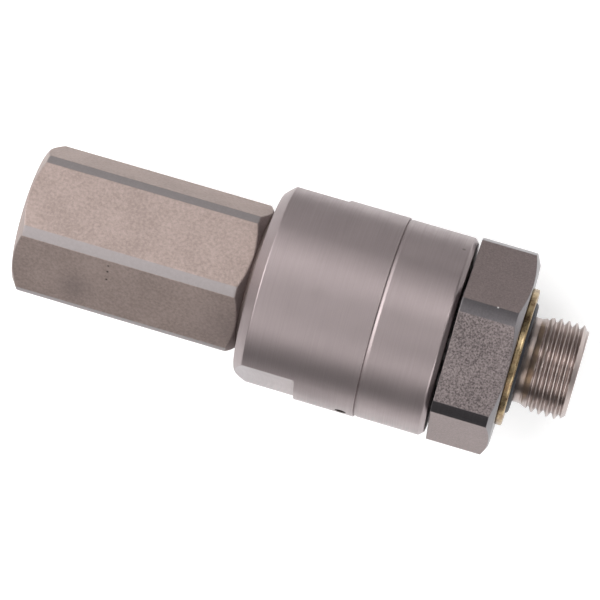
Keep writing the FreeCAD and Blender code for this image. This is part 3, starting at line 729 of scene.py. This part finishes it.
# A nick on the male hexagon's corner, painted near white as its glint
MALE_MARKS = (((32.7, 9.95, 14.8), 0.1, 0.22, 1.0, NICK_PAINTED_GLINT),)
RING_MARKS = (((24.4, 16.14, 6.26), 0.15, 0.4, 0.6, DARK_NICK),)

# The lock pin's hole is painted dark and dull as its shade within a core round its mouth, and clear past a
# rim
pin_mouth = pin_place + HOUSING * pin_outward
PAINTED_SHADE_CORE = 0.96
PAINTED_SHADE_RIM = 1.02


def turned_steel(name, skin, milled, roughness, marks):
    """Satin turned steel: fine tool rings, faint clouds, paler milled flats, painted shade in the pin hole.
    """
    steel = Finish(name)
    rings = steel.turning(0.16, detail=3.0)
    clouds = steel.noise(5.0, detail=3.0)
    tone = steel.maths("ADD", steel.maths("MULTIPLY", rings, 0.5), steel.maths("MULTIPLY", clouds, 0.5))
    turned = steel.mix(steel.between(tone, 0.38, 0.62), *skin)
    colour = steel.marked(steel.mix(steel.attribute("land"), milled, turned), marks)
    # Painted shade: the pin hole is darkened and loses its metal sheen round its mouth
    colour = steel.marked(colour, ((pin_mouth, PAINTED_SHADE_CORE, PAINTED_SHADE_RIM, 1.0, PAINTED_HOLLOW_SHADE),))
    clear_of_painted_shade = steel.maths("SUBTRACT", 1.0, steel.near(pin_mouth, PAINTED_SHADE_CORE, PAINTED_SHADE_RIM))
    rough = steel.between(tone, 0.35, 0.65, roughness + 0.04, roughness - 0.04)
    return steel.set(base_color=colour, metallic=clear_of_painted_shade, roughness=rough, normal=steel.relief(rings, 0.0006),
                     specular_ior_level=steel.maths("MULTIPLY", clear_of_painted_shade, 0.5))


def hexagon_steel(name, flat, level, land, grain, roughness, land_roughness, marks):
    """Bar steel with grainy flats, smooth turned lands, faces and chamfers, and bright cut threads.

    flat, level and land are pairs of colours, dark and light, and level is for the two flats that face up
    and down, painted with glints and shade. grain is the size of the flats' grain, its share beside broad
    patches and its relief's depth.
    """
    steel = Finish(name)
    size, contrast, depth = grain
    smooth = steel.attribute("land")
    grains = steel.noise(size, detail=2.0, roughness=0.6)
    patches = steel.noise(6.0, detail=3.0, shift=(3, 1, 7))
    broad = steel.maths("MULTIPLY", patches, 1 - contrast)
    tone = steel.between(steel.maths("ADD", steel.maths("MULTIPLY", grains, contrast), broad), 0.36, 0.64)
    # Painted glints and shade on the flats that face up or down, chosen by the height of the normal
    upward = steel.node("ShaderNodeSeparateXYZ", {"Vector": steel.facing}).outputs["Z"]
    painted_glint_share = steel.between(steel.maths("ABSOLUTE", upward), 0.9, 0.99)
    flats = steel.mix(painted_glint_share, steel.mix(tone, *flat), steel.mix(tone, *level))
    rings = steel.between(steel.turning(0.18, detail=2.0), 0.1, 0.9)
    speckle = steel.maths("MULTIPLY_ADD", grains, 1.4, steel.maths("MULTIPLY_ADD", rings, 0.4, -0.4))
    turned = steel.mix(steel.attribute("cut"), steel.mix(speckle, *land), steel.mix(rings, *CUT_THREAD))
    colour = steel.marked(steel.mix(smooth, flats, turned), marks)
    rough = steel.between(smooth, 0.0, 1.0, roughness, land_roughness)
    height = steel.maths("MULTIPLY", grains, steel.maths("SUBTRACT", 1.0, smooth))
    return steel.set(base_color=colour, metallic=1.0, roughness=rough, normal=steel.relief(height, depth))


def zinc_yellow():
    """Yellow passivated zinc: gold with brown stains."""
    zinc = Finish("zinc_yellow")
    stains = zinc.noise(1.6, detail=3.0)
    fine = zinc.noise(0.3, detail=2.0)
    dark, light = ZINC
    colour = zinc.mix(zinc.between(stains, 0.4, 0.62), light, dark)
    return zinc.set(base_color=colour, metallic=1.0, roughness=zinc.between(fine, *NOISE_RANGE, 0.24, 0.4),
                    normal=zinc.relief(fine, 0.004))


def rubber(name, colour):
    """Nitrile rubber: nearly black, with a faint moulded grain."""
    made = Finish(name)
    grain = made.noise(0.15, detail=2.0)
    darker = tuple(0.8 * part for part in colour)
    shade = made.mix(made.between(grain, *NOISE_RANGE), darker, colour)
    return made.set(base_color=shade, roughness=made.between(grain, *NOISE_RANGE, 0.42, 0.6),
                    normal=made.relief(grain, 0.003))


def black_oxide():
    """Blackened steel: matt, and hardly a mirror even at a low angle."""
    black = Finish("black_oxide")
    grain = black.noise(0.2, detail=2.0)
    shade = black.mix(black.between(grain, *NOISE_RANGE), *OXIDE)
    return black.set(base_color=shade, roughness=0.8, specular_ior_level=0.1,
                     normal=black.relief(grain, 0.002))


def plain_metal(name, dark, light, roughness):
    """Ground or turned metal of a piece inside the joint."""
    metal = Finish(name)
    rings = metal.turning(0.12, detail=2.0)
    colour = metal.mix(metal.between(rings, *NOISE_RANGE), dark, light)
    rough = metal.between(rings, *NOISE_RANGE, roughness + 0.06, roughness)
    return metal.set(base_color=colour, metallic=1.0, roughness=rough, normal=metal.relief(rings, 0.0005))


def seal_plastic(name, dark, light):
    """Filled sealing plastic: matt, with fine specks of its filler."""
    plastic = Finish(name)
    specks = plastic.noise(0.12, detail=2.0)
    colour = plastic.mix(plastic.between(specks, 0.35, 0.65), dark, light)
    return plastic.set(base_color=colour, roughness=0.45, normal=plastic.relief(specks, 0.002))


# The pieces that replace the outer nodes
male = male_half()
female = female_half()
case = round_housing()
ring = closing_ring()
metal_ring = washer_ring()
lip = washer_lip()
drill_pin_hole(case, DRILL_START, DRILL_END)
drill_pin_hole(ring, SKIRT - PIN_HOLE_IN_SKIRT, DRILL_END)

bar_steel = hexagon_steel("bar_steel", FEMALE_FLATS, FEMALE_FLATS, FEMALE_LANDS, grain=(0.5, 0.65, 0.03),
                          roughness=0.6, land_roughness=0.55, marks=FEMALE_MARKS)
dark_steel = hexagon_steel("dark_steel", MALE_FLATS, MALE_LEVEL_FLATS_PAINTED_GLINTS, MALE_LANDS, grain=(0.3, 0.8, 0.03),
                           roughness=0.5, land_roughness=0.28, marks=MALE_MARKS)
satin_steel = turned_steel("satin_steel", SATIN, WRENCH_FLAT, roughness=0.4, marks=RING_MARKS)
for piece, node, body, slot, finish in (
    (male, "male_body", "male_unit", "male_steel", dark_steel),
    (female, "female_body", "housing_unit", "female_steel", bar_steel),
    (case, "housing", "housing_unit", "housing_steel", satin_steel),
    (ring, "ring_nut", "housing_unit", "ring_steel", satin_steel),
    (metal_ring, "sealing_washer", "male_unit", "yellow_zinc", zinc_yellow()),
    (lip, "sealing_lip", "male_unit", "black_rubber", rubber("washer_rubber", (0.02, 0.022, 0.03))),
):
    piece.data.materials.append(finish)
    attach(piece, body)
    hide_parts(node)

# The finishes of the other nodes
black_rubber = rubber("black_rubber", (0.03, 0.03, 0.032))
race_steel = plain_metal("race_steel", (0.50, 0.50, 0.51), (0.66, 0.66, 0.67), 0.16)
ball_steel = plain_metal("ball_steel", (0.62, 0.62, 0.63), (0.70, 0.70, 0.71), 0.06)
cage_brass = plain_metal("cage_brass", (0.50, 0.36, 0.13), (0.64, 0.48, 0.20), 0.30)
bush_bronze = plain_metal("bush_bronze", (0.42, 0.25, 0.12), (0.56, 0.35, 0.18), 0.34)
pin_steel = black_oxide()
collar_steel = plain_metal("collar_steel", (0.20, 0.20, 0.21), (0.32, 0.32, 0.33), 0.34)
white_plastic = seal_plastic("white_plastic", (0.70, 0.69, 0.66), (0.80, 0.79, 0.76))
bronze_plastic = seal_plastic("bronze_plastic", (0.24, 0.16, 0.09), (0.34, 0.24, 0.14))
inner_finishes = {
    black_rubber: ("dust_wiper", "spigot_o_ring", "seal_energiser"),
    race_steel: ("front_housing_washer", "front_shaft_washer", "rear_shaft_washer", "rear_housing_washer"),
    ball_steel: ("front_balls", "rear_balls"),
    cage_brass: ("front_cage", "rear_cage"),
    bush_bronze: ("journal_bush",),
    pin_steel: ("lock_pin", "collar_set_screw"),
    collar_steel: ("thrust_collar", "preload_shim"),
    white_plastic: ("seal_backup_ring", "rotary_seal"),
    bronze_plastic: ("front_guide_ring", "rear_guide_ring"),
}
for finish, nodes in inner_finishes.items():
    for node in nodes:
        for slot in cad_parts[node].material_slots:
            slot.material = finish


# The photograph's camera: places in metres, directions in radians, lens in millimetres
VIEW_DISTANCE = 0.521
VIEW_FOOT = 46.3 * MM
VIEW_TURN = math.radians(78.8)
VIEW_ROLL = math.radians(16.34)
AIM_ALONG = -0.3 * MM
AIM_BELOW = 1.1 * MM
LENS = 185.1

# Light from all round, and the white table: half its width, its shade and its glow where it is seen
WORLD = 0.1
TABLE_REACH = 3000.0
TABLE_SHADE = 0.8
TABLE_GLOW = 0.42

# Grey cards on the table, in millimetres: both ends in X, both sides in Y, shade
CARD_LIFT = 0.5
CARD_ROUGHNESS = 0.9
CARDS = {
    "front_card": (-160, 160, 33, 260, 0.43),
    "back_card": (-160, 8, -400, -55, 0.66),
}

# Softboxes, in metres: direction about the axis, shift in X, distance, width, height, brightness
SOFTBOXES = {
    "low_front": (22, -0.35, 0.7, 0.6, 0.29, 1.8),
    "key": (46, -0.35, 0.7, 0.6, 0.29, 2.8),
    "high_front": (71, -0.37, 0.7, 0.56, 0.32, 2.4),
    "high_back": (98, -0.35, 0.7, 0.6, 0.29, 3.3),
    "left_back": (128, -0.35, 0.7, 0.6, 0.44, 1.35),
    "right_back": (128, 0.35, 0.7, 0.6, 0.44, 2.7),
    "left_end": (66, -0.75, 0.45, 0.5, 0.6, 2.9),
    "stud_key": (54, 0.1, 0.3, 0.09, 0.09, 6.0),
    "stud_fill": (85, 0.09, 0.3, 0.09, 0.18, 1.2),
    "right_edge": (48, 0.5, 0.4, 0.2, 0.25, 2.2),
}


def add_camera():
    """Camera straight out from its foot on the axis, aimed near the middle of the joint and rolled.

    Place = foot + outward * distance. It looks at the point that lies the aim's shift along the axis and
    below it in the picture, and the roll turns it about that line of sight.
    """
    outward = Vector((0, math.cos(VIEW_TURN), math.sin(VIEW_TURN)))
    upward = Vector((0, math.sin(VIEW_TURN), -math.cos(VIEW_TURN)))
    place = Vector((VIEW_FOOT, 0, 0)) + outward * VIEW_DISTANCE
    back = (place - Vector((AIM_ALONG, 0, 0)) + upward * AIM_BELOW).normalized()
    level = (Vector((1, 0, 0)) - back * back.x).normalized()
    above = back.cross(level)
    right = level * math.cos(VIEW_ROLL) + above * math.sin(VIEW_ROLL)
    up = above * math.cos(VIEW_ROLL) - level * math.sin(VIEW_ROLL)
    lens = bpy.data.cameras.new("camera")
    lens.lens = LENS
    lens.clip_start = 0.01
    lens.clip_end = 20
    camera = bpy.data.objects.new("camera", lens)
    camera.matrix_world = Matrix.Translation(place) @ Matrix((right, up, back)).transposed().to_4x4()
    bpy.context.scene.collection.objects.link(camera)
    bpy.context.scene.camera = camera


def add_softbox(name, turn, along, distance, width, height, brightness):
    """Area light that faces the joint. Its power is brightness * pi * width * height."""
    light = bpy.data.lights.new(name, "AREA")
    light.shape = "RECTANGLE"
    light.size = width
    light.size_y = height
    light.energy = brightness * math.pi * width * height
    lamp = bpy.data.objects.new(name, light)
    angle = math.radians(turn)
    lamp.location = Vector((along, distance * math.cos(angle), distance * math.sin(angle)))
    lamp.rotation_mode = "QUATERNION"
    lamp.rotation_quaternion = lamp.location.to_track_quat("Z", "Y")
    bpy.context.scene.collection.objects.link(lamp)


def level_sheet(name, left, right, front, back, lift):
    """A level rectangle between two places in X and two in Y, lifted off the level the housing lies on."""
    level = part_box("housing")[0].z / MM + lift
    outline = ((left, front), (right, front), (right, back), (left, back))
    return add_mesh(name, np.array([(x, y, level) for x, y in outline]), np.array([[0, 1, 2, 3]]))


def add_floor():
    """White table under the housing: it shines where it is seen or mirrored, and still takes a shadow."""
    floor = level_sheet("floor", -TABLE_REACH, TABLE_REACH, -TABLE_REACH, TABLE_REACH, 0)
    material = bpy.data.materials.new("white_table")
    material.use_nodes = True
    tree = material.node_tree
    tree.nodes.clear()
    output = tree.nodes.new("ShaderNodeOutputMaterial")
    cloth = tree.nodes.new("ShaderNodeBsdfDiffuse")
    cloth.inputs["Color"].default_value = (TABLE_SHADE, TABLE_SHADE, TABLE_SHADE, 1)
    glow = tree.nodes.new("ShaderNodeEmission")
    glow.inputs["Strength"].default_value = TABLE_GLOW
    both = tree.nodes.new("ShaderNodeAddShader")
    tree.links.new(cloth.outputs[0], both.inputs[0])
    tree.links.new(glow.outputs[0], both.inputs[1])
    path = tree.nodes.new("ShaderNodeLightPath")
    seen = path.outputs["Is Camera Ray"]
    for label in ("Is Glossy Ray", "Is Transmission Ray"):
        either = tree.nodes.new("ShaderNodeMath")
        either.operation = "MAXIMUM"
        tree.links.new(seen, either.inputs[0])
        tree.links.new(path.outputs[label], either.inputs[1])
        seen = either.outputs[0]
    choice = tree.nodes.new("ShaderNodeMixShader")
    tree.links.new(seen, choice.inputs["Fac"])
    tree.links.new(cloth.outputs[0], choice.inputs[1])
    tree.links.new(both.outputs[0], choice.inputs[2])
    tree.links.new(choice.outputs[0], output.inputs["Surface"])
    floor.data.materials.append(material)


def add_card(name, left, right, front, back, shade):
    """Grey card beside the joint, hidden from the camera, that darkens what the steel mirrors there."""
    card = level_sheet(name, left, right, front, back, CARD_LIFT)
    material = bpy.data.materials.new(name)
    material.use_nodes = True
    shader = material.node_tree.nodes["Principled BSDF"]
    shader.inputs["Base Color"].default_value = (shade, shade, shade, 1)
    shader.inputs["Roughness"].default_value = CARD_ROUGHNESS
    card.data.materials.append(material)
    for kind in ("camera", "diffuse", "shadow", "transmission"):
        setattr(card, "visible_" + kind, False)


def add_world():
    """A faint even light from all round."""
    world = bpy.data.worlds.new("studio")
    world.use_nodes = True
    background = world.node_tree.nodes["Background"]
    background.inputs["Color"].default_value = (WORLD, WORLD, WORLD, 1)
    background.inputs["Strength"].default_value = 1.0
    bpy.context.scene.world = world


add_camera()
add_world()
add_floor()
for name, sides_and_shade in CARDS.items():
    add_card(name, *sides_and_shade)
for name, place_and_size in SOFTBOXES.items():
    add_softbox(name, *place_and_size)
bpy.context.scene.view_settings.view_transform = "Standard"
